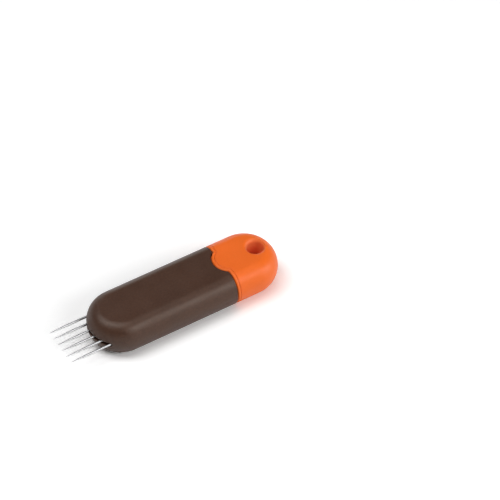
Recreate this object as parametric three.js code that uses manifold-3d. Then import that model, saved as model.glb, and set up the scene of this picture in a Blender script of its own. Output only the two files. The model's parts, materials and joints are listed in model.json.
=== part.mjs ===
// Retractable clay scoring tool: a flat pocket body whose dark sleeve slides on an orange carrier and head.
// With the sleeve pushed back against the head, a row of steel needles stands out of the slot in its nose.
//
// Millimetres. The tool lies flat: +X runs from the needle tips to the head, +Y across it and +Z up.
// The origin is on the flat underside, under the middle of the overall length.

import * as THREE from "three";
import { mergeVertices } from "three/addons/utils/BufferGeometryUtils.js";
import Module from "manifold-3d";

// Body, with the sleeve pushed back against the head
const bodyLength = 86.5;
const bodyWidth = 28;
const bodyThickness = 16.4;
const shoulderDepth = 6.3;
const frontNoseDepth = 13.9;
const rearNoseDepth = 13.9;
const wall = 2;

// Clearances
const slideClearance = 0.3;
const fitGap = 0.3;
const seamGap = 0.2;

// Travel of the head and carrier out of the sleeve
const slideTravel = 18.5;

// Head, from its rear end to the rim, and the round lobe that the rim makes over each flat face
const headLength = 25;
const lobeReach = 3.2;
const lobeRadius = 7.6;
const lobeCornerRadius = 0.6;

// Rim in front of the seam, and the lap joint behind it
const rimWidth = 1.3;
const rimRounding = 0.6;
const lipThickness = 0.8;
const lapLength = 1.2;
const lipRounding = 0.15;

// Rear edge of the sleeve
const mouthOuterRounding = 0.3;
const mouthInnerRounding = 0.3;

// Lanyard hole
const holeDiameter = 7.2;
const holeFromRearEnd = 8.6;
const holeRounding = 1.8;
const bossWall = 1.8;
const bossRibThickness = 1.4;

// Needles
const needleCount = 6;
const needleDiameter = 1;
const needleReach = 14.3;
const needleTaper = 9;
const needleTaperFullness = 0.55;
const slotClearance = 0.3;
const slotLipRounding = 0.35;

// Needle block and its pocket in the front of the carrier
const blockLength = 12;
const blockHeight = 5;
const blockEdge = 1.05;
const pocketSideWall = 1.3;
const blockRibHeight = 0.5;
const blockRibWidth = 1.2;
const blockRibLength = 12;
const blindHoleFloor = 1;

// Carrier
const carrierNoseEntry = 1.7;
const carrierWall = 1.8;
const carrierWebThickness = 1.8;
const spigotShortOfBoss = 1;

// Snap ridges between the carrier's spigot and the cap
const snapRidgeLength = 10;
const snapRidgeHeight = 0.7;
const snapRidgeWidth = 1.2;
const snapRidgeFromSpigotEnd = 3;

// Latch arms in the carrier's sides, and the grooves in the sleeve that their bumps run in
const armLength = 14;
const armHeight = 5;
const armSlotWidth = 0.8;
const armFromBulkhead = 0.4;
const bumpLength = 3;
const bumpRamp = 1.6;
const bumpHeight = 4;
const bumpEngagement = 0.7;

// Fineness of the curved surfaces
const sideSteps = 16;
const noseSteps = 20;
const lobeSteps = 12;
const cornerSteps = 3;
const roundingSteps = 4;
const holeSteps = 28;
const slotEndSteps = 10;
const slotSideSteps = 12;
const needleSides = 12;
const needleRings = 6;
const needleRingCrowding = 1.5;

// Places that follow from the sizes
const overallLength = bodyLength + needleReach;
const rearEndX = overallLength / 2;
const frontEndX = rearEndX - bodyLength;
const frontNoseCentreX = frontEndX + frontNoseDepth;
const rearNoseCentreX = rearEndX - rearNoseDepth;
const midZ = bodyThickness / 2;
const halfWidth = bodyWidth / 2;
const rimX = rearEndX - headLength;
const holeX = rearEndX - holeFromRearEnd;
const bossRadius = holeDiameter / 2 + bossWall;

const carrierInset = wall + slideClearance;
const carrierCavityInset = carrierInset + carrierWall;
const carrierFrontX = frontNoseCentreX - carrierNoseEntry;
const spigotEndX = holeX - bossRadius - spigotShortOfBoss;

const pocketHalfWidth = halfWidth - carrierInset - pocketSideWall;
const blockHalfWidth = pocketHalfWidth - fitGap;
const needleRowHalfWidth = blockHalfWidth - blockEdge;
const needlePitch = 2 * needleRowHalfWidth / (needleCount - 1);
const blockRearX = carrierFrontX + blockLength;
const pocketFloorX = blockRearX + fitGap;
const bulkheadRearX = pocketFloorX + carrierWall;
const needleRearX = blockRearX - blindHoleFloor - fitGap;
const blockRibX = (carrierFrontX + blockRearX) / 2;

const armFrontX = bulkheadRearX + armFromBulkhead + armSlotWidth;
const armRootX = armFrontX + armLength;
const carrierHalfWidth = halfWidth - carrierInset;
const bumpReachY = halfWidth - wall + bumpEngagement;

// How far a cutting shape passes the surface that it cuts, how far a collar reaches into its shell,
// and how close two corners lie that are one
const cutMargin = 1;
const edgeOverlap = 0.5;
const cornerTolerance = 1e-4;

const wasm = await Module();
wasm.setup();

function indexList(count) {
  return Array.from({ length: count }, (_, index) => index);
}

// A closed surface from points and triangles, turned so that its faces point out.
function closedGeometry(points, triangles) {
  const corners = points.map(([x, y, z]) => new THREE.Vector3(x, y, z));
  const volume = triangles.reduce(
    (sum, [a, b, c]) => sum + corners[a].dot(corners[b].clone().cross(corners[c])), 0);
  const faces = volume < 0 ? triangles.map(([a, b, c]) => [a, c, b]) : triangles;
  const geometry = new THREE.BufferGeometry();
  geometry.setAttribute("position", new THREE.Float32BufferAttribute(points.flat(), 3));
  geometry.setIndex(faces.flat());
  return geometry;
}

// A solid from a closed geometry. Corners at one place merge, and a face that this folds up is left out.
function toSolid(geometry) {
  const bare = geometry.clone();
  bare.deleteAttribute("normal");
  bare.deleteAttribute("uv");
  const merged = mergeVertices(bare, cornerTolerance);
  const faces = [];
  for (let start = 0; start < merged.index.count; start += 3) {
    const face = Array.from(merged.index.array.slice(start, start + 3));
    if (new Set(face).size === 3) {
      faces.push(...face);
    }
  }
  return new wasm.Manifold(new wasm.Mesh({
    numProp: 3,
    vertProperties: new Float32Array(merged.attributes.position.array),
    triVerts: new Uint32Array(faces),
  }));
}

function toGeometry(solid) {
  const mesh = solid.getMesh();
  const geometry = new THREE.BufferGeometry();
  geometry.setAttribute("position", new THREE.Float32BufferAttribute(mesh.vertProperties, 3));
  geometry.setIndex(Array.from(mesh.triVerts));
  geometry.computeVertexNormals();
  return geometry;
}

// A box between two corners.
function boxSolid(low, high) {
  const [width, depth, height] = high.map((value, axis) => value - low[axis]);
  const geometry = new THREE.BoxGeometry(width, depth, height);
  geometry.translate(low[0] + width / 2, low[1] + depth / 2, low[2] + height / 2);
  return toSolid(geometry);
}

// A shape drawn in X and Y, extruded from one height to another.
function prismSolid(shape, lowZ, highZ) {
  const geometry = new THREE.ExtrudeGeometry(shape, { depth: highZ - lowZ, bevelEnabled: false });
  geometry.translate(0, 0, lowZ);
  return toSolid(geometry);
}

// A lathe profile of radius and height pairs, turned about the line through x and y.
function turnedSolid(profile, sides, x, y) {
  const points = profile.map(([radius, height]) => new THREE.Vector2(radius, height));
  const geometry = new THREE.LatheGeometry(points, sides);
  geometry.rotateX(Math.PI / 2);
  geometry.translate(x, y, 0);
  return toSolid(geometry);
}

// The rounded side at one angle from mid-thickness: how far the plan outline draws in, and its height.
function sideLevel(inset, step) {
  const angle = Math.PI * (step / sideSteps - 0.5);
  return {
    drawIn: inset + (shoulderDepth - inset) * (1 - Math.cos(angle)),
    height: (bodyThickness / 2 - inset) * Math.sin(angle),
  };
}

// The plan outline of the body, drawn in by some distance: straight sides and two half-ellipse ends.
function planOutline(drawIn) {
  const half = halfWidth - drawIn;
  const arc = (centreX, depth, start) => indexList(noseSteps + 1).map((step) => {
    const angle = start + Math.PI * step / noseSteps;
    return [centreX + depth * Math.cos(angle), half * Math.sin(angle)];
  });
  const rear = arc(rearNoseCentreX, rearNoseDepth - drawIn, -Math.PI / 2);
  const front = arc(frontNoseCentreX, frontNoseDepth - drawIn, Math.PI / 2);
  return [...rear, ...front];
}

// The whole body shape, offset inwards by an inset: flat top and underside, rounded sides and ends.
function bodySolid(inset) {
  const points = [];
  const triangles = [];
  const ringSize = 2 * (noseSteps + 1);
  for (const step of indexList(sideSteps + 1)) {
    const level = sideLevel(inset, step);
    planOutline(level.drawIn).forEach(([x, y]) => points.push([x, y, midZ + level.height]));
  }
  for (const band of indexList(sideSteps)) {
    for (const corner of indexList(ringSize)) {
      const next = (corner + 1) % ringSize;
      const low = band * ringSize;
      const high = low + ringSize;
      triangles.push([low + corner, low + next, high + next], [low + corner, high + next, high + corner]);
    }
  }
  const topRing = sideSteps * ringSize;
  const centreX = (frontNoseCentreX + rearNoseCentreX) / 2;
  const bottomCentre = points.push([centreX, 0, inset]) - 1;
  const topCentre = points.push([centreX, 0, bodyThickness - inset]) - 1;
  for (const corner of indexList(ringSize)) {
    const next = (corner + 1) % ringSize;
    triangles.push([bottomCentre, next, corner], [topCentre, topRing + corner, topRing + next]);
  }
  return toSolid(closedGeometry(points, triangles));
}

// The front edge of the head on a flat face, from +Y to -Y: a straight edge, a small hollow corner, the lobe,
// and the same again. Each point carries the direction that points forward, out of the head.
function lobeCurve() {
  const lobeCentreX = rimX - lobeReach + lobeRadius;
  const cornerCentreX = rimX - lobeCornerRadius;
  const toCorner = lobeCentreX - cornerCentreX;
  const cornerCentreY = Math.sqrt((lobeRadius + lobeCornerRadius) ** 2 - toCorner ** 2);
  const cornerTurn = Math.atan2(cornerCentreY, toCorner);
  const cornerPoint = (step, side) => {
    const angle = -cornerTurn * step / cornerSteps;
    return {
      x: cornerCentreX + lobeCornerRadius * Math.cos(angle),
      y: side * (cornerCentreY + lobeCornerRadius * Math.sin(angle)),
      forward: [-Math.cos(angle), -side * Math.sin(angle)],
    };
  };
  const lobePoint = (step) => {
    const angle = Math.PI - cornerTurn + 2 * cornerTurn * step / lobeSteps;
    return {
      x: lobeCentreX + lobeRadius * Math.cos(angle),
      y: lobeRadius * Math.sin(angle),
      forward: [Math.cos(angle), Math.sin(angle)],
    };
  };
  const corner = indexList(cornerSteps);
  return [
    ...corner.map((step) => cornerPoint(step, 1)),
    ...indexList(lobeSteps + 1).map(lobePoint),
    ...corner.map((step) => cornerPoint(cornerSteps - 1 - step, -1)),
  ];
}

// The head's front edge all the way round the body. Each entry gives its point at an inset below the surface,
// shifted square to the edge, away from the head, and then slid straight along the body.
function rimContour() {
  const flatPoint = (up) => ({ x, y, forward }) => (inset, shift, slide) => [
    x + shift * forward[0] - slide,
    y + shift * forward[1],
    midZ + up * (bodyThickness / 2 - inset),
  ];
  const sidePoint = (side) => (step) => (inset, shift, slide) => {
    const level = sideLevel(inset, step);
    return [rimX - shift - slide, side * (halfWidth - level.drawIn), midZ + level.height];
  };
  const curve = lobeCurve();
  const levels = indexList(sideSteps + 1);
  return [
    ...curve.map(flatPoint(1)),
    ...levels.slice().reverse().map(sidePoint(-1)),
    ...curve.slice().reverse().map(flatPoint(-1)),
    ...levels.map(sidePoint(1)),
  ];
}

// A collar that follows the head's front edge, from a closed profile of inset, shift and slide values.
function collarSolid(profile) {
  const contour = rimContour();
  const points = profile.flatMap(([inset, shift, slide = 0]) => (
    contour.map((pointAt) => pointAt(inset, shift, slide))));
  const triangles = [];
  for (const row of indexList(profile.length)) {
    for (const corner of indexList(contour.length)) {
      const nextRow = (row + 1) % profile.length * contour.length;
      const thisRow = row * contour.length;
      const next = (corner + 1) % contour.length;
      triangles.push(
        [thisRow + corner, thisRow + next, nextRow + next],
        [thisRow + corner, nextRow + next, nextRow + corner]);
    }
  }
  return toSolid(closedGeometry(points, triangles));
}

// A quarter-round in a collar profile, about a centre, from one angle to another.
function quarterRound(centreInset, centreShift, radius, startTurn, endTurn) {
  return indexList(roundingSteps + 1).map((step) => {
    const angle = Math.PI / 2 * (startTurn + (endTurn - startTurn) * step / roundingSteps);
    return [centreInset - radius * Math.cos(angle), centreShift + radius * Math.sin(angle)];
  });
}

// Everything ahead of the head's front edge, moved forward by a shift and a slide.
function aheadOfRim(shift, slide = 0) {
  const shape = new THREE.Shape();
  const farX = frontEndX - cutMargin;
  const sideY = halfWidth + cutMargin;
  shape.moveTo(farX, sideY);
  shape.lineTo(farX, -sideY);
  shape.lineTo(rimX - shift - slide, -sideY);
  lobeCurve().reverse().forEach(({ x, y, forward }) => {
    shape.lineTo(x + shift * forward[0] - slide, y + shift * forward[1]);
  });
  shape.lineTo(rimX - shift - slide, sideY);
  return prismSolid(shape, -cutMargin, bodyThickness + cutMargin);
}

// A slab across the body between two places along it.
function slab(lowX, highX) {
  return boxSolid(
    [lowX, -halfWidth - cutMargin, -cutMargin],
    [highX, halfWidth + cutMargin, bodyThickness + cutMargin]);
}

// Both halves of a detail that is made on the +Y side and mirrored to the other.
function onBothSides(makeSide) {
  return makeSide(1).add(makeSide(-1));
}

// A ridge across a flat face of the carrier, on its top and underside, grown by a clearance for its recess.
function faceRidges(centreX, length, width, lowHeight, highHeight, clearance) {
  return onBothSides((side) => {
    const heights = [side * lowHeight, side * (highHeight + clearance)].sort((a, b) => a - b);
    return boxSolid(
      [centreX - width / 2 - clearance, -length / 2 - clearance, midZ + heights[0]],
      [centreX + width / 2 + clearance, length / 2 + clearance, midZ + heights[1]]);
  });
}

const needlePlaces = indexList(needleCount).map((index) => -needleRowHalfWidth + index * needlePitch);

// A row of round bars or holes at the needles' places.
function needleRow(radius, lowX, highX) {
  return needlePlaces.map((y) => {
    const geometry = new THREE.CylinderGeometry(radius, radius, highX - lowX, needleSides);
    geometry.rotateZ(Math.PI / 2);
    geometry.translate((lowX + highX) / 2, y, midZ);
    return toSolid(geometry);
  });
}

const spigotHalfHeight = bodyThickness / 2 - carrierInset;
const snapRidge = {
  centreX: spigotEndX - snapRidgeFromSpigotEnd,
  lowHeight: spigotHalfHeight - carrierWall / 2,
  highHeight: spigotHalfHeight + snapRidgeHeight,
};

function snapRidges(clearance) {
  const { centreX, lowHeight, highHeight } = snapRidge;
  return faceRidges(centreX, snapRidgeLength, snapRidgeWidth, lowHeight, highHeight, clearance);
}

function blockRibs(clearance) {
  const lowHeight = blockHeight / 2 - blockRibHeight;
  const highHeight = blockHeight / 2 + blockRibHeight;
  return faceRidges(blockRibX, blockRibLength, blockRibWidth, lowHeight, highHeight, clearance);
}

// Sleeve: a shell with a closed nose, a slot for the needles and a rear edge that fits round the head.
function makeSleeve() {
  const outer = mouthOuterRounding;
  const inner = mouthInnerRounding;
  const rearEdge = collarSolid([
    [wall, fitGap + outer, 2 * edgeOverlap],
    [0, fitGap + outer, 2 * edgeOverlap],
    ...quarterRound(outer, fitGap + outer, outer, 0, -1),
    ...quarterRound(wall - inner, fitGap + inner, inner, -1, -2),
  ]);
  const shell = bodySolid(0).subtract(bodySolid(wall)).intersect(aheadOfRim(fitGap + outer, edgeOverlap));
  return shell.add(rearEdge).subtract(needleSlot()).subtract(onBothSides(bumpGroove));
}

// Where a line along the body, at a place across it and a height from its middle, enters the front nose.
function frontNoseX(inset, y, height) {
  const angle = Math.asin(height / (bodyThickness / 2 - inset));
  const drawIn = inset + (shoulderDepth - inset) * (1 - Math.cos(angle));
  const across = y / (halfWidth - drawIn);
  return frontNoseCentreX - (frontNoseDepth - drawIn) * Math.sqrt(1 - across ** 2);
}

// The outline of the slot, grown by some distance: two straight sides and two round ends.
function slotOutline(growth) {
  const radius = needleDiameter / 2 + slotClearance + growth;
  const side = (up) => indexList(slotSideSteps).map((step) => (
    [up * needleRowHalfWidth * (2 * step / slotSideSteps - 1), -up * radius]));
  const end = (across) => indexList(slotEndSteps).map((step) => {
    const angle = Math.PI * (step / slotEndSteps - 0.5);
    return [across * (needleRowHalfWidth + radius * Math.cos(angle)), across * radius * Math.sin(angle)];
  });
  return [...side(1), ...end(1), ...side(-1), ...end(-1)];
}

// The slot through the sleeve's nose, as high as a needle and its clearance, with round ends and a
// rounded lip that follows the nose.
function needleSlot() {
  const lip = indexList(roundingSteps + 1).map((step) => {
    const angle = Math.PI / 2 * step / roundingSteps;
    return {
      growth: slotLipRounding * (1 - Math.sin(angle)),
      inset: slotLipRounding * (1 - Math.cos(angle)),
    };
  });
  const rings = [
    slotOutline(slotLipRounding).map(([y, height]) => [frontEndX - cutMargin, y, midZ + height]),
    ...lip.map(({ growth, inset }) => (
      slotOutline(growth).map(([y, height]) => [frontNoseX(inset, y, height), y, midZ + height]))),
    slotOutline(0).map(([y, height]) => [frontNoseCentreX, y, midZ + height]),
  ];
  const ringSize = rings[0].length;
  const points = rings.flat();
  const triangles = [];
  for (const row of indexList(rings.length - 1)) {
    for (const corner of indexList(ringSize)) {
      const next = (corner + 1) % ringSize;
      const near = row * ringSize;
      const far = near + ringSize;
      triangles.push([near + corner, near + next, far + next], [near + corner, far + next, far + corner]);
    }
  }
  const lastRing = (rings.length - 1) * ringSize;
  const frontCentre = points.push([frontEndX - cutMargin, 0, midZ]) - 1;
  const rearCentre = points.push([frontNoseCentreX, 0, midZ]) - 1;
  for (const corner of indexList(ringSize)) {
    const next = (corner + 1) % ringSize;
    triangles.push([frontCentre, next, corner], [rearCentre, lastRing + corner, lastRing + next]);
  }
  return toSolid(closedGeometry(points, triangles));
}

// The groove inside one side of the sleeve, as long as the bump and its travel.
function bumpGroove(side) {
  const ys = [side * (carrierHalfWidth - slideClearance), side * (bumpReachY + slideClearance)];
  ys.sort((a, b) => a - b);
  const halfHeight = bumpHeight / 2 + slideClearance;
  return boxSolid(
    [armFrontX - slideClearance, ys[0], midZ - halfHeight],
    [armFrontX + bumpLength + slideTravel + slideClearance, ys[1], midZ + halfHeight]);
}

// Head cap: a hollow end piece with a boss round the lanyard hole, and a thin lip over the carrier's tongue.
function makeHeadCap() {
  const lipShift = -(rimWidth + seamGap);
  const stepShift = lipShift - lapLength;
  const frontEdge = collarSolid([
    [wall, stepShift],
    [lipThickness, stepShift],
    [lipThickness, lipShift],
    ...quarterRound(lipRounding, lipShift - lipRounding, lipRounding, 1, 0),
    [0, stepShift - 2 * edgeOverlap],
    [wall, stepShift - 2 * edgeOverlap],
  ]);
  const shell = bodySolid(0).subtract(bodySolid(wall)).subtract(aheadOfRim(stepShift - edgeOverlap));
  const boss = turnedSolid([
    [0, wall / 2],
    [bossRadius, wall / 2],
    [bossRadius, bodyThickness - wall / 2],
    [0, bodyThickness - wall / 2],
  ], holeSteps, holeX, 0);
  const rib = boxSolid([holeX, -bossRibThickness / 2, 0], [rearEndX, bossRibThickness / 2, bodyThickness])
    .intersect(bodySolid(wall / 2));
  return shell.add(frontEdge).add(boss).add(rib).subtract(lanyardHole()).subtract(snapRidges(fitGap));
}

// The lanyard hole, with a rounded rim at each face.
function lanyardHole() {
  const radius = holeDiameter / 2;
  const rim = (turn) => {
    const angle = Math.PI / 2 * turn;
    return [radius + holeRounding * (1 - Math.sin(angle)), holeRounding * (1 - Math.cos(angle))];
  };
  const turns = indexList(roundingSteps + 1).map((step) => step / roundingSteps);
  const lowerRim = turns.map(rim);
  const upperRim = turns.map(rim).reverse().map(([r, depth]) => [r, bodyThickness - depth]);
  const outerRadius = radius + holeRounding;
  return turnedSolid([
    [0, -cutMargin],
    [outerRadius, -cutMargin],
    ...lowerRim,
    ...upperRim,
    [outerRadius, bodyThickness + cutMargin],
    [0, bodyThickness + cutMargin],
  ], holeSteps, holeX, 0);
}

// Carrier: the inner body that slides in the sleeve. It has the rim round its rear, a spigot for the cap,
// a pocket for the needle block, two long hollows with a web between them, and a latch arm in each side.
function makeCarrier() {
  const rimRoot = carrierInset + carrierWall / 2;
  const tongueInset = lipThickness + fitGap;
  const tongueShift = -(rimWidth + lapLength);
  const rim = collarSolid([
    [rimRoot, tongueShift],
    [tongueInset, tongueShift],
    [tongueInset, -rimWidth],
    ...quarterRound(lipRounding, -rimWidth + lipRounding, lipRounding, -1, 0),
    ...quarterRound(rimRounding, -rimRounding, rimRounding, 0, 1),
    [rimRoot, 0],
  ]);
  const web = boxSolid(
    [bulkheadRearX, -carrierWebThickness / 2, 0],
    [spigotEndX + cutMargin, carrierWebThickness / 2, bodyThickness]);
  const hollows = bodySolid(carrierCavityInset)
    .intersect(slab(bulkheadRearX, spigotEndX + cutMargin))
    .subtract(web);
  const pocket = boxSolid(
    [carrierFrontX - cutMargin, -pocketHalfWidth, midZ - blockHeight / 2 - fitGap],
    [pocketFloorX, pocketHalfWidth, midZ + blockHeight / 2 + fitGap]);
  const body = bodySolid(carrierInset).intersect(slab(carrierFrontX, spigotEndX));
  return body.add(rim)
    .subtract(hollows)
    .subtract(pocket)
    .subtract(blockRibs(fitGap))
    .subtract(onBothSides(armSlots))
    .add(onBothSides(armBump))
    .add(snapRidges(0));
}

// The U-shaped slot that frees the latch arm in one side wall, with the arm's root at its rear.
function armSlots(side) {
  const ys = [side * (carrierHalfWidth - carrierWall - cutMargin), side * halfWidth].sort((a, b) => a - b);
  const slotFrontX = armFrontX - armSlotWidth;
  const halfOuter = armHeight / 2 + armSlotWidth;
  const freed = boxSolid([slotFrontX, ys[0], midZ - halfOuter], [armRootX, ys[1], midZ + halfOuter]);
  const arm = boxSolid(
    [armFrontX, ys[0], midZ - armHeight / 2],
    [armRootX + cutMargin, ys[1], midZ + armHeight / 2]);
  return freed.subtract(arm);
}

// The bump on one latch arm: a ramp at the front, and a square face at the rear that stops the travel.
function armBump(side) {
  const rootY = carrierHalfWidth - carrierWall / 2;
  const shape = new THREE.Shape();
  shape.moveTo(armFrontX, side * rootY);
  shape.lineTo(armFrontX, side * carrierHalfWidth);
  shape.lineTo(armFrontX + bumpRamp, side * bumpReachY);
  shape.lineTo(armFrontX + bumpLength, side * bumpReachY);
  shape.lineTo(armFrontX + bumpLength, side * rootY);
  return prismSolid(shape, midZ - bumpHeight / 2, midZ + bumpHeight / 2);
}

// Needle block: a bar with a blind hole for each needle and a catch rib on its top and underside.
function makeNeedleBlock() {
  const bar = boxSolid(
    [carrierFrontX, -blockHalfWidth, midZ - blockHeight / 2],
    [blockRearX, blockHalfWidth, midZ + blockHeight / 2]);
  const holes = needleRow(
    needleDiameter / 2 + fitGap, carrierFrontX - cutMargin, blockRearX - blindHoleFloor);
  return holes.reduce((block, hole) => block.subtract(hole), bar.add(blockRibs(0)));
}

// One needle: a round shank that tapers to a sharp tip at its front end.
function makeNeedle(y) {
  const tipX = frontEndX - needleReach;
  const radius = needleDiameter / 2;
  const profile = indexList(needleRings + 1).map((ring) => {
    const share = (ring / needleRings) ** needleRingCrowding;
    return new THREE.Vector2(radius * share ** needleTaperFullness, needleTaper * share);
  });
  const shankLength = needleRearX - tipX;
  profile.push(new THREE.Vector2(radius, shankLength), new THREE.Vector2(0, shankLength));
  const geometry = new THREE.LatheGeometry(profile, needleSides);
  geometry.rotateZ(-Math.PI / 2);
  geometry.translate(tipX, y, midZ);
  return toSolid(geometry);
}

const darkPlastic = { color: "#4b3a30", roughness: 0.45, metalness: 0 };
const orangePlastic = { color: "#f26d31", roughness: 0.45, metalness: 0 };
const palePlastic = { color: "#e4dfd2", roughness: 0.6, metalness: 0 };
const needleSteel = { color: "#c4c6c8", roughness: 0.25, metalness: 1 };

function namedMesh(name, solid, look) {
  const mesh = new THREE.Mesh(toGeometry(solid), new THREE.MeshStandardMaterial(look));
  mesh.name = name;
  return mesh;
}

const tool = new THREE.Group();
tool.add(namedMesh("sleeve", makeSleeve(), darkPlastic));
tool.add(namedMesh("head_cap", makeHeadCap(), orangePlastic));
tool.add(namedMesh("carrier", makeCarrier(), orangePlastic));
tool.add(namedMesh("needle_block", makeNeedleBlock(), palePlastic));
needlePlaces.forEach((y, index) => {
  tool.add(namedMesh(`needle_${index + 1}`, makeNeedle(y), needleSteel));
});

export default tool;
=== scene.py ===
import json
import math

import bmesh
import bpy
from mathutils import Matrix, Vector


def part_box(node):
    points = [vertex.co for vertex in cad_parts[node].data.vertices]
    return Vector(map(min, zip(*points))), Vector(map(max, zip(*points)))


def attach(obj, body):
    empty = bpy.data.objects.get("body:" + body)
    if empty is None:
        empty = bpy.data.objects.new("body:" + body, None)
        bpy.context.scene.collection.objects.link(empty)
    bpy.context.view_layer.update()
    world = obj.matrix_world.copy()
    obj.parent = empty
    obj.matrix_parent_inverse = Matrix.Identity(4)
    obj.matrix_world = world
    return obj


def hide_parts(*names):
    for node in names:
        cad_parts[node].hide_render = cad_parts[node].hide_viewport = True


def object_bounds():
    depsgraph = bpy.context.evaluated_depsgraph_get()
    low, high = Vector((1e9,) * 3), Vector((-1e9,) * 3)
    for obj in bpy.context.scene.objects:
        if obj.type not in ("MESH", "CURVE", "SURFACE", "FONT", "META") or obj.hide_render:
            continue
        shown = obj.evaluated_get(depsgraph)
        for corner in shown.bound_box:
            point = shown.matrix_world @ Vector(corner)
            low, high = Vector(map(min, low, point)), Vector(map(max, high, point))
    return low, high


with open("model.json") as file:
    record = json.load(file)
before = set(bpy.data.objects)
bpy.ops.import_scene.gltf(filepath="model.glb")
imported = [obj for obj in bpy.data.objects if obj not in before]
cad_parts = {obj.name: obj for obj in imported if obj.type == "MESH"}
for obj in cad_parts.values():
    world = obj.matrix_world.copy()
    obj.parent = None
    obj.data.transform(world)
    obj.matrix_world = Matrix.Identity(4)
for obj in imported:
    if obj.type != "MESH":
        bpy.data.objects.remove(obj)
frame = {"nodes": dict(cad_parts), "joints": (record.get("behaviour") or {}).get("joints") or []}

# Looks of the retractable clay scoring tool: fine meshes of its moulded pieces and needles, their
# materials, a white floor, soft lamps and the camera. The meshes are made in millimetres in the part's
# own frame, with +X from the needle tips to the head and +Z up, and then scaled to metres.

MM = 0.001

for leftover in ("Cube", "Light", "Camera"):
    if leftover in bpy.data.objects:
        bpy.data.objects.remove(bpy.data.objects[leftover])
bpy.context.view_layer.update()
cad_low, cad_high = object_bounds()


def node_box(node):
    """The lowest and highest corners of a CAD node, in millimetres."""
    low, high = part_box(node)
    return low / MM, high / MM


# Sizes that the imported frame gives
SLEEVE_LOW, SLEEVE_HIGH = node_box("sleeve")
CAP_HIGH = node_box("head_cap")[1]
CARRIER_LOW, CARRIER_HIGH = node_box("carrier")
BLOCK_LOW, BLOCK_HIGH = node_box("needle_block")
NEEDLES = [node_box(f"needle_{number}") for number in range(1, 7)]
FRONT_END_X = SLEEVE_LOW.x
REAR_END_X = CAP_HIGH.x
HALF_WIDTH = SLEEVE_HIGH.y
THICKNESS = SLEEVE_HIGH.z
MID_Z = THICKNESS / 2

# Body
SHOULDER_DEPTH = 6.3
FRONT_NOSE_DEPTH = 13.9
REAR_NOSE_DEPTH = 13.9
HEAD_LENGTH = 25.0
WALL = 2.0
FRONT_NOSE_X = FRONT_END_X + FRONT_NOSE_DEPTH
REAR_NOSE_X = REAR_END_X - REAR_NOSE_DEPTH

# Clearances
SLIDE_CLEARANCE = 0.3
FIT_GAP = 0.3
SEAM_GAP = 0.12
SLIDE_TRAVEL = frame["joints"][0]["range_m"][1] / MM

# Head rim, its lobe, the seam behind it and the mouth of the sleeve
RIM_X = REAR_END_X - HEAD_LENGTH
LOBE_REACH = 3.2
LOBE_RADIUS = 7.6
LOBE_CORNER_RADIUS = 0.6
RIM_WIDTH = 1.3
RIM_ROUNDING = 0.6
LIP_THICKNESS = 0.8
LAP_LENGTH = 1.2
LIP_ROUNDING = 0.15
MOUTH_ROUNDING = 0.3

# Lanyard hole
HOLE_FROM_REAR_END = 8.6
HOLE_X = REAR_END_X - HOLE_FROM_REAR_END
HOLE_RADIUS = 3.6
HOLE_ROUNDING = 1.8
BOSS_WALL = 1.8
BOSS_RADIUS = HOLE_RADIUS + BOSS_WALL
BOSS_RIB_THICKNESS = 1.4

# Needles and their slot
NEEDLE_RADIUS = 0.5
NEEDLE_TAPER = 9.0
NEEDLE_TAPER_FULLNESS = 0.55
NEEDLE_ROW_HALF_WIDTH = (NEEDLES[-1][0].y + NEEDLES[-1][1].y) / 2
SLOT_RADIUS = NEEDLE_RADIUS + SLIDE_CLEARANCE
SLOT_LIP_ROUNDING = 0.35

# Carrier
CARRIER_INSET = WALL + SLIDE_CLEARANCE
CARRIER_WALL = 1.8
BLOCK_HALF_HEIGHT = 2.5
CARRIER_HALF_WIDTH = HALF_WIDTH - CARRIER_INSET
CAVITY_INSET = CARRIER_INSET + CARRIER_WALL
CARRIER_FRONT_X = CARRIER_LOW.x
SPIGOT_END_X = CARRIER_HIGH.x
POCKET_HALF_WIDTH = BLOCK_HIGH.y + FIT_GAP
POCKET_HALF_HEIGHT = BLOCK_HALF_HEIGHT + FIT_GAP
POCKET_FLOOR_X = BLOCK_HIGH.x + FIT_GAP
BULKHEAD_REAR_X = POCKET_FLOOR_X + CARRIER_WALL
WEB_THICKNESS = 1.8

# Ridges that snap into their recesses: centre along the body, length, width, lowest and highest height
BLOCK_RIB = ((BLOCK_LOW.x + BLOCK_HIGH.x) / 2, 12.0, 1.2, 2.0, 3.0)
SPIGOT_FACE = THICKNESS / 2 - CARRIER_INSET
SNAP_RIDGE = (SPIGOT_END_X - 3.0, 10.0, 1.2, SPIGOT_FACE - 0.9, SPIGOT_FACE + 0.7)

# Latch arms and their bumps
ARM_FROM_BULKHEAD = 1.2
ARM_LENGTH = 14.0
ARM_FRONT_X = BULKHEAD_REAR_X + ARM_FROM_BULKHEAD
ARM_ROOT_X = ARM_FRONT_X + ARM_LENGTH
ARM_HALF_HEIGHT = 2.5
ARM_SLOT_WIDTH = 0.8
BUMP_LENGTH = 3.0
BUMP_RAMP = 1.6
BUMP_HALF_HEIGHT = 2.0
BUMP_HEIGHT = 0.7
BUMP_REACH_Y = HALF_WIDTH - WALL + BUMP_HEIGHT

# Fineness of the surfaces that show and of those inside
SHOWN_STEPS = 64
INNER_STEPS = 28
LOBE_STEPS = 56
CORNER_STEPS = 10
ROUNDING_STEPS = 8
HOLE_STEPS = 96
SLOT_END_STEPS = 16
SLOT_SIDE_STEPS = 40
NEEDLE_SIDES = 32
NEEDLE_RINGS = 24
NEEDLE_RING_CROWDING = 1.5

# How far a cutting shape passes a surface, how far a collar reaches into its shell, and how close two
# corners lie that are one
CUT_MARGIN = 1.0
EDGE_OVERLAP = 0.5
CORNER_TOLERANCE = 1e-4
SHARP_ANGLE = math.radians(32)

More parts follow.
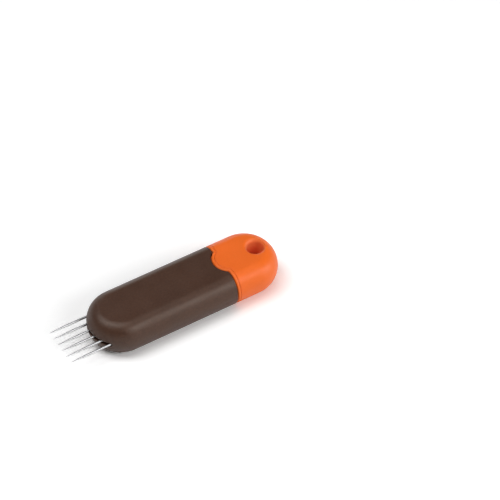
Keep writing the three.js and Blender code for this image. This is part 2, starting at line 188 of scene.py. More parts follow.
# Colours
WHITE = (1.0, 1.0, 1.0, 1.0)
SLEEVE_COLOUR = (0.061, 0.0252, 0.0138)
SLEEVE_WORN_COLOUR = (0.14, 0.08, 0.055)
HEAD_COLOUR = (0.885, 0.151, 0.017)
HEAD_WORN_COLOUR = (0.95, 0.26, 0.07)
# Painted glow: the lanyard hole's wall is coloured lighter and redder than the head, standing in for light
# that the orange plastic carries into the hole.
PAINTED_BORE_GLOW = (0.99, 0.24, 0.08)
BLOCK_COLOUR = (0.77, 0.74, 0.64)
BLOCK_WORN_COLOUR = (0.85, 0.83, 0.76)
GLOSS_TINT = (1.0, 0.91, 0.83, 1.0)
STEEL_COLOUR = (0.48, 0.48, 0.49, 1.0)
STAIN_COLOUR = (0.4, 0.39, 0.38, 1.0)

# Plastic: noise scales in features per metre, or along each axis, and the spans of noise that count
NOISE_SPAN = (0.3, 0.7)
MOTTLE_SCALE = 70.0
SPECKLE_SCALE = 1100.0
FLECK_SCALE = 5200.0
FLECK_SPAN = (0.68, 0.8)
FLECK_STRENGTH = 0.35
ROUGHNESS_SCALE = 140.0
ROUGHNESS_CHANGE = (-0.04, 0.05)
GRAIN_SCALE = 1300.0
GRAIN_STRENGTH = 0.5
RUB_SCALES = (60.0, 2600.0, 2600.0)
RUB_SPAN = (0.66, 0.76)
RUB_SMOOTHING = 0.06
RUB_DEPTH = 0.004 * MM
RUB_STRENGTH = 0.25

# Wear along edges: width, how far a normal and its rounded one part there, and how it breaks up
WEAR_RADIUS = 0.35 * MM
WEAR_SAMPLES = 6
WEAR_FACING = (0.9995, 0.97)
WEAR_SCALE = 900.0
WEAR_SPAN = (0.35, 0.65)
WEAR_LEAST = 0.35
WEAR_STRENGTH = 0.35
WEAR_SMOOTHING = 0.1

# Steel: rings round the taper, lines along the shank and stains
RING_SCALES = (9000.0, 500.0, 500.0)
LINE_SCALES = (60.0, 4000.0, 4000.0)
STAIN_SCALE = 160.0
STAIN_SPAN = (0.45, 0.75)
STAIN_STRENGTH = 0.35
STEEL_ROUGHNESS = (0.26, 0.32)
STEEL_RELIEF = 0.001 * MM
RING_STRENGTH = 0.05
LINE_STRENGTH = 0.1

# Light and floor
FLOOR_HALF_SIZE = 2.5
FLOOR_FADE = (0.16, 0.36)
FLOOR_TONE = 0.75
FLOOR_TONE_MIRRORED = 1.0
FLOOR_TONE_SEEN = 1.25
PAPER_SCALE = 30.0
PAPER_TONE = (0.99, 1.0)
WORLD_STRENGTH = 0.05
BACKDROP_FADE = (0.0, 0.2)

# Soft lamps: azimuth and elevation of the direction they shine from, distance, size and brightness
SOFT_LAMPS = {
    "overhead softbox": (-20.0, 84.0, 0.9, 0.6, 2.4),
    "left softbox": (-125.0, 62.0, 0.9, 0.6, 4.2),
    "front softbox": (20.0, 34.5, 0.9, 0.5, 4.4),
    "right softbox": (52.0, 13.0, 0.9, 0.55, 4.3),
    "rear softbox": (160.0, 12.0, 0.9, 0.5, 1.4),
}

# The photograph's view: direction from the middle of its frame to the camera, distance and lens
VIEW_AZIMUTH = -31.824
VIEW_ELEVATION = 46.689
VIEW_DISTANCE = 1.19904
VIEW_TARGET = Vector((0.04696, 0.01218, 0.0))
VIEW_LENS = 206.94
SENSOR_WIDTH = 36
NEAR_CLIP = 0.01


def solid_from(points, faces):
    """A closed mesh object in millimetres, with its faces turned outwards."""
    mesh = bpy.data.meshes.new("solid")
    mesh.from_pydata(points, [], faces)
    builder = bmesh.new()
    builder.from_mesh(mesh)
    bmesh.ops.remove_doubles(builder, verts=builder.verts, dist=CORNER_TOLERANCE)
    bmesh.ops.recalc_face_normals(builder, faces=builder.faces)
    builder.to_mesh(mesh)
    builder.free()
    solid = bpy.data.objects.new("solid", mesh)
    bpy.context.scene.collection.objects.link(solid)
    return solid


def apply_booleans(base, operation, others):
    """Joins other solids to a base, or cuts it with them, and removes them."""
    for other in others:
        modifier = base.modifiers.new("boolean", "BOOLEAN")
        modifier.operation = operation
        modifier.solver = "MANIFOLD"
        modifier.object = other
    depsgraph = bpy.context.evaluated_depsgraph_get()
    mesh = bpy.data.meshes.new_from_object(base.evaluated_get(depsgraph))
    base.modifiers.clear()
    base.data = mesh
    for other in others:
        bpy.data.objects.remove(other)
    return base


def joined(base, *others):
    return apply_booleans(base, "UNION", others)


def cut(base, *others):
    return apply_booleans(base, "DIFFERENCE", others)


def kept_inside(base, *others):
    return apply_booleans(base, "INTERSECT", others)


def lofted(rings):
    """A solid through rings of as many points each, closed by a flat face at both ends."""
    size = len(rings[0])
    points = [point for ring in rings for point in ring]
    faces = [list(range(size)), list(range(len(points) - size, len(points)))]
    for row in range(len(rings) - 1):
        for corner in range(size):
            following = (corner + 1) % size
            near, far = row * size, (row + 1) * size
            faces.append([near + corner, near + following, far + following, far + corner])
    return solid_from(points, faces)


def box_solid(low, high):
    corners = [(low[0], low[1]), (high[0], low[1]), (high[0], high[1]), (low[0], high[1])]
    return prism(corners, low[2], high[2])


def prism(outline, low_z, high_z):
    """An outline in X and Y, extruded from one height to another."""
    return lofted([[(x, y, z) for x, y in outline] for z in (low_z, high_z)])


def turned(profile, sides, x, y):
    """A profile of radius and height pairs, turned about the upright line through x and y."""
    rings = []
    for radius, height in profile:
        turns = (2 * math.pi * side / sides for side in range(sides))
        rings.append([(x + radius * math.cos(turn), y + radius * math.sin(turn), height) for turn in turns])
    return lofted(rings)


def side_level(inset, share):
    """How far the plan outline draws in, and its height from the middle, part of the way up the side."""
    angle = math.pi * (share - 0.5)
    draw_in = inset + (SHOULDER_DEPTH - inset) * (1 - math.cos(angle))
    return draw_in, (THICKNESS / 2 - inset) * math.sin(angle)


def plan_outline(draw_in, steps):
    """The plan of the body, drawn in: straight sides and two half-ellipse ends."""
    half = HALF_WIDTH - draw_in

    def end(centre_x, depth, start):
        angles = (start + math.pi * step / steps for step in range(steps + 1))
        return [(centre_x + depth * math.cos(angle), half * math.sin(angle)) for angle in angles]

    rear = end(REAR_NOSE_X, REAR_NOSE_DEPTH - draw_in, -math.pi / 2)
    front = end(FRONT_NOSE_X, FRONT_NOSE_DEPTH - draw_in, math.pi / 2)
    return rear + front


def body_solid(inset, steps=INNER_STEPS):
    """The whole body shape, offset inwards: flat top and underside, rounded sides and ends."""
    rings = []
    for step in range(steps + 1):
        draw_in, height = side_level(inset, step / steps)
        rings.append([(x, y, MID_Z + height) for x, y in plan_outline(draw_in, steps)])
    return lofted(rings)


def lobe_curve():
    """The head's front edge on a flat face, from +Y to -Y, as points with their forward direction."""
    lobe_x = RIM_X - LOBE_REACH + LOBE_RADIUS
    corner_x = RIM_X - LOBE_CORNER_RADIUS
    corner_y = math.sqrt((LOBE_RADIUS + LOBE_CORNER_RADIUS) ** 2 - (lobe_x - corner_x) ** 2)
    corner_turn = math.atan2(corner_y, lobe_x - corner_x)
    corner = []
    for step in range(CORNER_STEPS):
        angle = -corner_turn * step / CORNER_STEPS
        x = corner_x + LOBE_CORNER_RADIUS * math.cos(angle)
        y = corner_y + LOBE_CORNER_RADIUS * math.sin(angle)
        corner.append((x, y, -math.cos(angle), -math.sin(angle)))
    lobe = []
    for step in range(LOBE_STEPS + 1):
        angle = math.pi - corner_turn + 2 * corner_turn * step / LOBE_STEPS
        x, y = math.cos(angle), math.sin(angle)
        lobe.append((lobe_x + LOBE_RADIUS * x, LOBE_RADIUS * y, x, y))
    mirrored = [(x, -y, forward_x, -forward_y) for x, y, forward_x, forward_y in reversed(corner)]
    return corner + lobe + mirrored


def rim_ring(inset, shift, slide=0.0):
    """The head's front edge all round the body, at an inset, shifted square to the edge and slid back."""
    def flat(up, curve):
        height = MID_Z + up * (THICKNESS / 2 - inset)
        return [(x + shift * fx - slide, y + shift * fy, height) for x, y, fx, fy in curve]

    def side(across, steps):
        levels = (side_level(inset, step / SHOWN_STEPS) for step in steps)
        return [(RIM_X - shift - slide, across * (HALF_WIDTH - draw_in), MID_Z + height)
                for draw_in, height in levels]

    curve = lobe_curve()
    steps = range(SHOWN_STEPS + 1)
    return flat(1, curve) + side(-1, reversed(steps)) + flat(-1, curve[::-1]) + side(1, steps)


def collar(profile):
    """A collar along the head's front edge, from a closed profile of inset, shift and slide values."""
    rings = [rim_ring(*row) for row in profile]
    size = len(rings[0])
    faces = []
    for row in range(len(rings)):
        near, far = row * size, (row + 1) % len(rings) * size
        for corner in range(size):
            following = (corner + 1) % size
            faces.append([near + corner, near + following, far + following, far + corner])
    return solid_from([point for ring in rings for point in ring], faces)


def quarter_round(inset, shift, radius, start_turn, end_turn):
    """A quarter-round of a collar's profile about a centre, between two angles in quarter turns."""
    rows = []
    for step in range(ROUNDING_STEPS + 1):
        angle = math.pi / 2 * (start_turn + (end_turn - start_turn) * step / ROUNDING_STEPS)
        rows.append((inset - radius * math.cos(angle), shift + radius * math.sin(angle)))
    return rows


def ahead_of_rim(shift, slide=0.0):
    """Everything ahead of the head's front edge, moved forward by a shift and a slide."""
    far_x = FRONT_END_X - CUT_MARGIN
    side_y = HALF_WIDTH + CUT_MARGIN
    edge = [(x + shift * fx - slide, y + shift * fy) for x, y, fx, fy in lobe_curve()[::-1]]
    near_x = RIM_X - shift - slide
    outline = [(far_x, side_y), (far_x, -side_y), (near_x, -side_y), *edge, (near_x, side_y)]
    return prism(outline, -CUT_MARGIN, THICKNESS + CUT_MARGIN)


def slab(low_x, high_x):
    """A slab across the body between two places along it."""
    reach = HALF_WIDTH + CUT_MARGIN
    return box_solid((low_x, -reach, -CUT_MARGIN), (high_x, reach, THICKNESS + CUT_MARGIN))


def face_ridges(ridge, clearance):
    """A ridge across the top and one across the underside, grown by a clearance for their recess."""
    centre_x, length, width, low, high = ridge
    ridges = []
    for side in (1, -1):
        heights = sorted((side * low, side * (high + clearance)))
        ridges.append(box_solid(
            (centre_x - width / 2 - clearance, -length / 2 - clearance, MID_Z + heights[0]),
            (centre_x + width / 2 + clearance, length / 2 + clearance, MID_Z + heights[1])))
    return ridges


def front_nose_x(inset, y, height):
    """Where a line along the body, at a place across it and a height, enters the front nose."""
    angle = math.asin(height / (THICKNESS / 2 - inset))
    draw_in = inset + (SHOULDER_DEPTH - inset) * (1 - math.cos(angle))
    across = y / (HALF_WIDTH - draw_in)
    return FRONT_NOSE_X - (FRONT_NOSE_DEPTH - draw_in) * math.sqrt(1 - across ** 2)


def slot_outline(growth):
    """The outline of the needle slot, grown by some distance: straight sides and round ends."""
    radius = SLOT_RADIUS + growth
    outline = []
    for way in (1, -1):
        for step in range(SLOT_SIDE_STEPS):
            y = NEEDLE_ROW_HALF_WIDTH * (2 * step / SLOT_SIDE_STEPS - 1)
            outline.append((way * y, -way * radius))
        for step in range(SLOT_END_STEPS):
            angle = math.pi * (step / SLOT_END_STEPS - 0.5)
            y = NEEDLE_ROW_HALF_WIDTH + radius * math.cos(angle)
            outline.append((way * y, way * radius * math.sin(angle)))
    return outline


def needle_slot():
    """The slot through the sleeve's nose, with a rounded lip that follows the nose."""
    rings = [[(FRONT_END_X - CUT_MARGIN, y, MID_Z + h) for y, h in slot_outline(SLOT_LIP_ROUNDING)]]
    for step in range(ROUNDING_STEPS + 1):
        angle = math.pi / 2 * step / ROUNDING_STEPS
        growth = SLOT_LIP_ROUNDING * (1 - math.sin(angle))
        inset = SLOT_LIP_ROUNDING * (1 - math.cos(angle))
        rings.append([(front_nose_x(inset, y, h), y, MID_Z + h) for y, h in slot_outline(growth)])
    rings.append([(FRONT_NOSE_X, y, MID_Z + h) for y, h in slot_outline(0)])
    return lofted(rings)


def bump_groove(side):
    """The groove inside one side of the sleeve, as long as the latch bump and its travel."""
    ys = sorted((side * (CARRIER_HALF_WIDTH - SLIDE_CLEARANCE), side * (BUMP_REACH_Y + SLIDE_CLEARANCE)))
    half_height = BUMP_HALF_HEIGHT + SLIDE_CLEARANCE
    return box_solid(
        (ARM_FRONT_X - SLIDE_CLEARANCE, ys[0], MID_Z - half_height),
        (ARM_FRONT_X + BUMP_LENGTH + SLIDE_TRAVEL + SLIDE_CLEARANCE, ys[1], MID_Z + half_height))


def make_sleeve():
    """The sleeve: a shell with a closed nose, a slot for the needles and a rounded rear edge."""
    rounding = MOUTH_ROUNDING
    shift = FIT_GAP + rounding
    rear_edge = collar([
        (WALL, shift, 2 * EDGE_OVERLAP),
        (0, shift, 2 * EDGE_OVERLAP),
        *quarter_round(rounding, shift, rounding, 0, -1),
        *quarter_round(WALL - rounding, shift, rounding, -1, -2),
    ])
    shell = cut(body_solid(0, SHOWN_STEPS), body_solid(WALL))
    shell = kept_inside(shell, ahead_of_rim(shift, EDGE_OVERLAP))
    shell = joined(shell, rear_edge)
    return cut(shell, needle_slot(), bump_groove(1), bump_groove(-1))


def lanyard_hole():
    """The lanyard hole, with a rounded rim at each face."""
    rim = []
    for step in range(ROUNDING_STEPS + 1):
        angle = math.pi / 2 * step / ROUNDING_STEPS
        rim.append((HOLE_RADIUS + HOLE_ROUNDING * (1 - math.sin(angle)),
                    HOLE_ROUNDING * (1 - math.cos(angle))))
    mirrored = [(radius, THICKNESS - depth) for radius, depth in reversed(rim)]
    widest = HOLE_RADIUS + HOLE_ROUNDING
    ends = (widest, -CUT_MARGIN), (widest, THICKNESS + CUT_MARGIN)
    return turned([ends[0], *rim, *mirrored, ends[1]], HOLE_STEPS, HOLE_X, 0)


def make_head_cap():
    """The head cap: a hollow end piece with a boss round the lanyard hole and a thin front lip."""
    lip_shift = -(RIM_WIDTH + SEAM_GAP)
    step_shift = lip_shift - LAP_LENGTH
    front_edge = collar([
        (WALL, step_shift),
        (LIP_THICKNESS, step_shift),
        (LIP_THICKNESS, lip_shift),
        *quarter_round(LIP_ROUNDING, lip_shift - LIP_ROUNDING, LIP_ROUNDING, 1, 0),
        (0, step_shift - 2 * EDGE_OVERLAP),
        (WALL, step_shift - 2 * EDGE_OVERLAP),
    ])
    shell = cut(body_solid(0, SHOWN_STEPS), body_solid(WALL), ahead_of_rim(step_shift - EDGE_OVERLAP))
    ends = WALL / 2, THICKNESS - WALL / 2
    boss = turned([(BOSS_RADIUS, ends[0]), (BOSS_RADIUS, ends[1])], HOLE_STEPS, HOLE_X, 0)
    half = BOSS_RIB_THICKNESS / 2
    rib = kept_inside(
        box_solid((HOLE_X, -half, 0), (REAR_END_X, half, THICKNESS)), body_solid(WALL / 2))
    shell = joined(shell, front_edge, boss, rib)
    return cut(shell, lanyard_hole(), *face_ridges(SNAP_RIDGE, FIT_GAP))


def arm_slots(side):
    """The U-shaped slot that frees the latch arm in one side wall."""
    ys = sorted((side * (CARRIER_HALF_WIDTH - CARRIER_WALL - CUT_MARGIN), side * HALF_WIDTH))
    outer = ARM_HALF_HEIGHT + ARM_SLOT_WIDTH
    freed = box_solid(
        (ARM_FRONT_X - ARM_SLOT_WIDTH, ys[0], MID_Z - outer), (ARM_ROOT_X, ys[1], MID_Z + outer))
    arm = box_solid(
        (ARM_FRONT_X, ys[0] - CUT_MARGIN, MID_Z - ARM_HALF_HEIGHT),
        (ARM_ROOT_X + CUT_MARGIN, ys[1] + CUT_MARGIN, MID_Z + ARM_HALF_HEIGHT))
    return cut(freed, arm)


def arm_bump(side):
    """The bump on one latch arm, with a ramp at the front and a square stop at the rear."""
    root_y = CARRIER_HALF_WIDTH - CARRIER_WALL / 2
    rear_x = ARM_FRONT_X + BUMP_LENGTH
    outline = [
        (ARM_FRONT_X, root_y),
        (ARM_FRONT_X, CARRIER_HALF_WIDTH),
        (ARM_FRONT_X + BUMP_RAMP, BUMP_REACH_Y),
        (rear_x, BUMP_REACH_Y),
        (rear_x, root_y),
    ]
    return prism(
        [(x, side * y) for x, y in outline], MID_Z - BUMP_HALF_HEIGHT, MID_Z + BUMP_HALF_HEIGHT)


def make_carrier():
    """The carrier: the inner body, with the head's rim round its rear and a spigot for the cap."""
    rim_root = CARRIER_INSET + CARRIER_WALL / 2
    tongue_inset = LIP_THICKNESS + FIT_GAP
    tongue_shift = -(RIM_WIDTH + LAP_LENGTH)
    rim = collar([
        (rim_root, tongue_shift),
        (tongue_inset, tongue_shift),
        (tongue_inset, -RIM_WIDTH),
        *quarter_round(LIP_ROUNDING, -RIM_WIDTH + LIP_ROUNDING, LIP_ROUNDING, -1, 0),
        *quarter_round(RIM_ROUNDING, -RIM_ROUNDING, RIM_ROUNDING, 0, 1),
        (rim_root, 0),
    ])
    hollow_end = SPIGOT_END_X + CUT_MARGIN
    half = WEB_THICKNESS / 2
    web = box_solid((BULKHEAD_REAR_X - CUT_MARGIN, -half, 0), (hollow_end + CUT_MARGIN, half, THICKNESS))
    hollows = cut(kept_inside(body_solid(CAVITY_INSET), slab(BULKHEAD_REAR_X, hollow_end)), web)
    pocket = box_solid(
        (CARRIER_FRONT_X - CUT_MARGIN, -POCKET_HALF_WIDTH, MID_Z - POCKET_HALF_HEIGHT),
        (POCKET_FLOOR_X, POCKET_HALF_WIDTH, MID_Z + POCKET_HALF_HEIGHT))
    body = kept_inside(body_solid(CARRIER_INSET, SHOWN_STEPS), slab(CARRIER_FRONT_X, SPIGOT_END_X))
    body = cut(joined(body, rim), hollows, pocket, *face_ridges(BLOCK_RIB, FIT_GAP))
    body = cut(body, arm_slots(1), arm_slots(-1))
    return joined(body, arm_bump(1), arm_bump(-1), *face_ridges(SNAP_RIDGE, 0))


def make_needle(low, high):
    """One needle: a round shank that tapers to a sharp tip at its front end."""
    centre_y = (low.y + high.y) / 2
    rings = []
    for ring in range(1, NEEDLE_RINGS + 1):
        share = (ring / NEEDLE_RINGS) ** NEEDLE_RING_CROWDING
        rings.append((NEEDLE_RADIUS * share ** NEEDLE_TAPER_FULLNESS, low.x + NEEDLE_TAPER * share))
    rings.append((NEEDLE_RADIUS, high.x))
    points = []
    for radius, x in rings:
        for side in range(NEEDLE_SIDES):
            turn = 2 * math.pi * side / NEEDLE_SIDES
            points.append((x, centre_y + radius * math.cos(turn), MID_Z + radius * math.sin(turn)))
    tip = len(points)
    points.append((low.x, centre_y, MID_Z))
    faces = [list(range(tip - NEEDLE_SIDES, tip))]
    for side in range(NEEDLE_SIDES):
        following = (side + 1) % NEEDLE_SIDES
        faces.append([tip, side, following])
        for row in range(len(rings) - 1):
            near, far = row * NEEDLE_SIDES, (row + 1) * NEEDLE_SIDES
            faces.append([near + side, near + following, far + following, far + side])
    return solid_from(points, faces)


def finished_piece(solid, name, node, body, material):
    """Turns a solid into a smooth-shaded piece in metres that stands for a CAD node."""
    solid.name = name
    mesh = solid.data
    mesh.name = name
    builder = bmesh.new()
    builder.from_mesh(mesh)
    bmesh.ops.remove_doubles(builder, verts=builder.verts, dist=CORNER_TOLERANCE)
    bmesh.ops.dissolve_degenerate(builder, edges=builder.edges, dist=CORNER_TOLERANCE)
    builder.to_mesh(mesh)
    builder.free()
    mesh.transform(Matrix.Scale(MM, 4))
    mesh.shade_smooth()
    mesh.set_sharp_from_angle(angle=SHARP_ANGLE)
    mesh.materials.clear()
    mesh.materials.append(material)
    weighted = solid.modifiers.new("weighted normals", "WEIGHTED_NORMAL")
    weighted.keep_sharp = True
    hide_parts(node)
    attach(solid, body)
    return solid


class Nodes:
    """The shader nodes of a material or a world, and short ways to add them."""

    def __init__(self, owner):
        self.owner = owner
        owner.use_nodes = True
        self.tree = owner.node_tree
        self.tree.nodes.clear()

    def add(self, kind, settings=None, **inputs):
        """A node with its settings, and its inputs by name as values or as another node's output."""
        node = self.tree.nodes.new(kind)
        for name, value in (settings or {}).items():
            setattr(node, name, value)
        for name, value in inputs.items():
            self.put(node, name.replace("_", " "), value)
        return node

    def put(self, node, name, value):
        socket = node.inputs[int(name)] if name.isdigit() else node.inputs[name]
        if isinstance(value, bpy.types.NodeSocket):
            self.tree.links.new(value, socket)
        else:
            socket.default_value = value

    def noise(self, scale, detail=2.0, roughness=0.5, stretch=None):
        """Noise in the object's own space, with its scale in features per metre."""
        place = self.add("ShaderNodeTexCoord").outputs["Object"]
        if stretch:
            place = self.add("ShaderNodeMapping", Vector=place, Scale=stretch).outputs["Vector"]
        node = self.add("ShaderNodeTexNoise", Vector=place, Scale=scale, Detail=detail, Roughness=roughness)
        return node.outputs["Fac"]

    def spread(self, value, low, high, to_low, to_high):
        """A value between two bounds, spread over another range."""
        node = self.add("ShaderNodeMapRange", {"clamp": True}, Value=value)
        for name, number in (("From Min", low), ("From Max", high), ("To Min", to_low), ("To Max", to_high)):
            node.inputs[name].default_value = number
        return node.outputs["Result"]

    def maths(self, operation, first, second):
        node = self.add("ShaderNodeMath", {"operation": operation})
        self.put(node, "0", first)
        self.put(node, "1", second)
        return node.outputs["Value"]

    def mixed(self, share, first, second, blend="MIX"):
        """Two colours mixed by a share."""
        node = self.add("ShaderNodeMix", {"data_type": "RGBA", "blend_type": blend})
        self.put(node, "0", share)
        self.put(node, "6", first)
        self.put(node, "7", second)
        return node.outputs[2]

    def bump(self, height, distance, strength, normal=None):
        node = self.add("ShaderNodeBump", Height=height, Distance=distance, Strength=strength)
        if normal:
            self.put(node, "Normal", normal)
        return node.outputs["Normal"]

    def blend(self, share, first, second):
        """Two shaders mixed by a share."""
        node = self.add("ShaderNodeMixShader", Fac=share)
        self.put(node, "1", first)
        self.put(node, "2", second)
        return node.outputs["Shader"]

    def rays(self):
        """Which rays are the camera's own, and which come by way of a reflection or through glass."""
        path = self.add("ShaderNodeLightPath").outputs
        mirrored = self.maths("MAXIMUM", path["Is Glossy Ray"], path["Is Transmission Ray"])
        return path["Is Camera Ray"], mirrored

    def finish(self, shader, output="ShaderNodeOutputMaterial"):
        self.tree.links.new(shader, self.add(output).inputs["Surface"])
        return self.owner


def edge_wear(nodes, radius):
    """A mask that is 1 on edges and small roundings and 0 on broad surfaces."""
    geometry = nodes.add("ShaderNodeNewGeometry").outputs["Normal"]
    rounded = nodes.add("ShaderNodeBevel", {"samples": WEAR_SAMPLES}, Radius=radius).outputs["Normal"]
    facing = nodes.add("ShaderNodeVectorMath", {"operation": "DOT_PRODUCT"})
    nodes.put(facing, "0", geometry)
    nodes.put(facing, "1", rounded)
    mask = nodes.spread(facing.outputs["Value"], *WEAR_FACING, 0.0, 1.0)
    broken = nodes.spread(nodes.noise(WEAR_SCALE, detail=4.0), *WEAR_SPAN, WEAR_LEAST, 1.0)
    return nodes.maths("MULTIPLY", mask, broken)


def painted_glow_mask(nodes):
    """A mask that is 1 on the wall of the lanyard hole, where a lighter, redder colour is painted as glow.
    """
    place = nodes.add("ShaderNodeTexCoord").outputs["Object"]
    place = nodes.add(
        "ShaderNodeMapping", Vector=place, Location=(-HOLE_X * MM, 0.0, 0.0), Scale=(1.0, 1.0, 0.0))
    reach = nodes.add("ShaderNodeVectorMath", {"operation": "LENGTH"}, Vector=place.outputs["Vector"])
    edge = (HOLE_RADIUS + HOLE_ROUNDING / 2) * MM
    return nodes.spread(reach.outputs["Value"], HOLE_RADIUS * MM, edge, 1.0, 0.0)


def moulded_plastic(
        name, colour, worn_colour, roughness, grain_depth, mottling, speckling, gloss=0.5, bore_glow_colour=None):
    """Moulded plastic: grain, soft mottling, fine speckles, rub marks along the slide and paler edges, and a
    painted glow on the lanyard hole's wall where one is given.
    """
    nodes = Nodes(bpy.data.materials.new(name))
    mottle = nodes.spread(
        nodes.noise(MOTTLE_SCALE, detail=3.0), *NOISE_SPAN, 1 - mottling, 1 + mottling)
    speckle = nodes.spread(
        nodes.noise(SPECKLE_SCALE, detail=3.0), *NOISE_SPAN, 1 - speckling, 1 + speckling)
    mottle = nodes.maths("MULTIPLY", mottle, speckle)
    tint = nodes.add("ShaderNodeCombineColor", Red=mottle, Green=mottle, Blue=mottle).outputs["Color"]
    base = nodes.mixed(1.0, (*colour, 1.0), tint, "MULTIPLY")
    flecks = nodes.spread(nodes.noise(FLECK_SCALE, detail=1.0), *FLECK_SPAN, 0.0, FLECK_STRENGTH)
    base = nodes.mixed(flecks, base, (*worn_colour, 1.0))
    wear = edge_wear(nodes, WEAR_RADIUS)
    base = nodes.mixed(nodes.maths("MULTIPLY", wear, WEAR_STRENGTH), base, (*worn_colour, 1.0))
    # Painted glow: the hole's wall takes a lighter, redder colour that stands in for light shining through
    # and bouncing about in the plastic.
    if bore_glow_colour:
        base = nodes.mixed(painted_glow_mask(nodes), base, (*bore_glow_colour, 1.0))
    rubbed = nodes.noise(1.0, detail=5.0, roughness=0.7, stretch=RUB_SCALES)
    rub_marks = nodes.spread(rubbed, *RUB_SPAN, 0.0, 1.0)
    smoother, rougher = (roughness + change for change in ROUGHNESS_CHANGE)
    cloud = nodes.spread(nodes.noise(ROUGHNESS_SCALE, detail=4.0), *NOISE_SPAN, smoother, rougher)
    rough = nodes.maths("SUBTRACT", cloud, nodes.maths("MULTIPLY", wear, WEAR_SMOOTHING))
    rough = nodes.maths("SUBTRACT", rough, nodes.maths("MULTIPLY", rub_marks, RUB_SMOOTHING))
    grain = nodes.noise(GRAIN_SCALE, detail=5.0, roughness=0.75)
    normal = nodes.bump(grain, grain_depth, GRAIN_STRENGTH)
    normal = nodes.bump(rub_marks, RUB_DEPTH, RUB_STRENGTH, normal)
    shader = nodes.add(
        "ShaderNodeBsdfPrincipled", Base_Color=base, Roughness=rough, Normal=normal,
        Specular_IOR_Level=gloss, Specular_Tint=GLOSS_TINT)
    return nodes.finish(shader.outputs["BSDF"])


def needle_steel():
    """Ground steel: fine rings round the taper, faint drawing lines along the shank and darker stains."""
    nodes = Nodes(bpy.data.materials.new("needle steel"))
    rings = nodes.noise(1.0, detail=3.0, roughness=0.6, stretch=RING_SCALES)
    lines = nodes.noise(1.0, detail=3.0, roughness=0.6, stretch=LINE_SCALES)
    stains = nodes.spread(nodes.noise(STAIN_SCALE, detail=4.0), *STAIN_SPAN, 0.0, STAIN_STRENGTH)
    base = nodes.mixed(stains, STEEL_COLOUR, STAIN_COLOUR)
    rough = nodes.spread(rings, *NOISE_SPAN, *STEEL_ROUGHNESS)
    normal = nodes.bump(rings, STEEL_RELIEF, RING_STRENGTH)
    normal = nodes.bump(lines, STEEL_RELIEF, LINE_STRENGTH, normal)
    shader = nodes.add(
        "ShaderNodeBsdfPrincipled", Base_Color=base, Metallic=1.0, Roughness=rough, Normal=normal)
    return nodes.finish(shader.outputs["BSDF"])


def white_floor():
    """A white floor that keeps shadows. It shows paler, to the camera most, than it lights the object."""
    nodes = Nodes(bpy.data.materials.new("white floor"))
    camera, mirrored = nodes.rays()
    tone = nodes.spread(mirrored, 0.0, 1.0, FLOOR_TONE, FLOOR_TONE_MIRRORED)
    tone = nodes.maths("MAXIMUM", tone, nodes.maths("MULTIPLY", camera, FLOOR_TONE_SEEN))
    paper = nodes.spread(nodes.noise(PAPER_SCALE, detail=3.0), *NOISE_SPAN, *PAPER_TONE)
    tone = nodes.maths("MULTIPLY", tone, paper)
    colour = nodes.add("ShaderNodeCombineColor", Red=tone, Green=tone, Blue=tone).outputs["Color"]
    matt = nodes.add("ShaderNodeBsdfDiffuse", Color=colour).outputs["BSDF"]
    place = nodes.add("ShaderNodeTexCoord").outputs["Object"]
    reach = nodes.add("ShaderNodeVectorMath", {"operation": "LENGTH"})
    nodes.put(reach, "0", place)
    far = nodes.spread(reach.outputs["Value"], *FLOOR_FADE, 0.0, 1.0)
    far = nodes.maths("MULTIPLY", far, nodes.maths("MAXIMUM", camera, mirrored))
    white = nodes.add("ShaderNodeEmission", Strength=1.0).outputs["Emission"]
    above = nodes.blend(far, matt, white)
    below = nodes.add("ShaderNodeNewGeometry").outputs["Backfacing"]
    clear = nodes.add("ShaderNodeBsdfTransparent").outputs["BSDF"]
    return nodes.finish(nodes.blend(below, above, clear))


def direction(azimuth, elevation):
    """The way from the object to a place round it. Azimuth 0 lies towards -Y and 90 towards +X."""
    turn, rise = math.radians(azimuth), math.radians(elevation)
    return Vector((math.sin(turn) * math.cos(rise), -math.cos(turn) * math.cos(rise), math.sin(rise)))


def aim(thing, place, target):
    thing.location = place
    thing.rotation_euler = (target - place).to_track_quat("-Z", "Y").to_euler()
    bpy.context.scene.collection.objects.link(thing)


def make_lamps():
    middle = (cad_low + cad_high) / 2
    for name, (azimuth, elevation, distance, size, brightness) in SOFT_LAMPS.items():
        lamp = bpy.data.lights.new(name, "AREA")
        lamp.shape = "DISK"
        lamp.size = size
        lamp.energy = brightness * math.pi * math.pi * (size / 2) ** 2
        aim(bpy.data.objects.new(name, lamp), middle + direction(azimuth, elevation) * distance, middle)


def make_world():
    """Faint even light from all sides, and a white backdrop for the camera and for low reflections."""
    world = bpy.data.worlds.new("studio")
    bpy.context.scene.world = world
    nodes = Nodes(world)
    camera, mirrored = nodes.rays()
    way = nodes.add("ShaderNodeTexCoord").outputs["Generated"]
    rise = nodes.add("ShaderNodeSeparateXYZ", Vector=way).outputs["Z"]
    low = nodes.spread(rise, *BACKDROP_FADE, 1.0, 0.0)
    shown = nodes.maths("MAXIMUM", camera, nodes.maths("MULTIPLY", mirrored, low))
    surround = nodes.add("ShaderNodeBackground", Color=WHITE, Strength=WORLD_STRENGTH)
    backdrop = nodes.add("ShaderNodeBackground", Color=WHITE, Strength=1.0)
    nodes.finish(
        nodes.blend(shown, surround.outputs["Background"], backdrop.outputs["Background"]),
        "ShaderNodeOutputWorld")


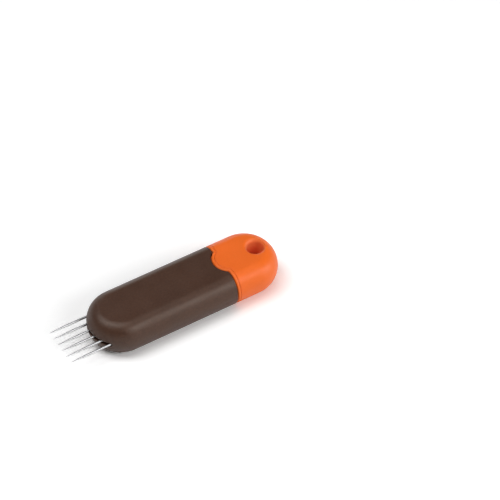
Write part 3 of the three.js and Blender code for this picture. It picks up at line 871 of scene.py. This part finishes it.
def make_floor():
    mesh = bpy.data.meshes.new("floor")
    reach = FLOOR_HALF_SIZE
    corners = [(-reach, -reach, 0), (reach, -reach, 0), (reach, reach, 0), (-reach, reach, 0)]
    mesh.from_pydata(corners, [], [(0, 1, 2, 3)])
    mesh.materials.append(white_floor())
    floor = bpy.data.objects.new("floor", mesh)
    bpy.context.scene.collection.objects.link(floor)


def make_camera():
    lens = bpy.data.cameras.new("camera")
    lens.lens = VIEW_LENS
    lens.sensor_width = SENSOR_WIDTH
    lens.clip_start = NEAR_CLIP
    camera = bpy.data.objects.new("camera", lens)
    aim(camera, VIEW_TARGET + direction(VIEW_AZIMUTH, VIEW_ELEVATION) * VIEW_DISTANCE, VIEW_TARGET)
    bpy.context.scene.camera = camera


def dress_object():
    sleeve_plastic = moulded_plastic(
        "sleeve plastic", SLEEVE_COLOUR, SLEEVE_WORN_COLOUR,
        roughness=0.42, grain_depth=0.15 * MM, mottling=0.08, speckling=0.13)
    head_plastic = moulded_plastic(
        "head plastic", HEAD_COLOUR, HEAD_WORN_COLOUR,
        roughness=0.4, grain_depth=0.05 * MM, mottling=0.04, speckling=0.015,
        gloss=0.35, bore_glow_colour=PAINTED_BORE_GLOW)
    block_plastic = moulded_plastic(
        "block plastic", BLOCK_COLOUR, BLOCK_WORN_COLOUR,
        roughness=0.5, grain_depth=0.05 * MM, mottling=0.03, speckling=0.03)
    steel = needle_steel()
    finished_piece(
        make_sleeve(), "sleeve_moulding", "sleeve", "sleeve_body", sleeve_plastic)
    finished_piece(
        make_head_cap(), "head_cap_moulding", "head_cap", "head_body", head_plastic)
    finished_piece(
        make_carrier(), "carrier_moulding", "carrier", "head_body", head_plastic)
    for number, (low, high) in enumerate(NEEDLES, start=1):
        finished_piece(
            make_needle(low, high), f"needle_wire_{number}", f"needle_{number}",
            "head_body", steel)
    block = frame["nodes"]["needle_block"]
    block.data.materials.clear()
    block.data.materials.append(block_plastic)


dress_object()
make_floor()
make_world()
make_lamps()
make_camera()
bpy.context.scene.view_settings.view_transform = "Standard"

bpy.context.view_layer.update()
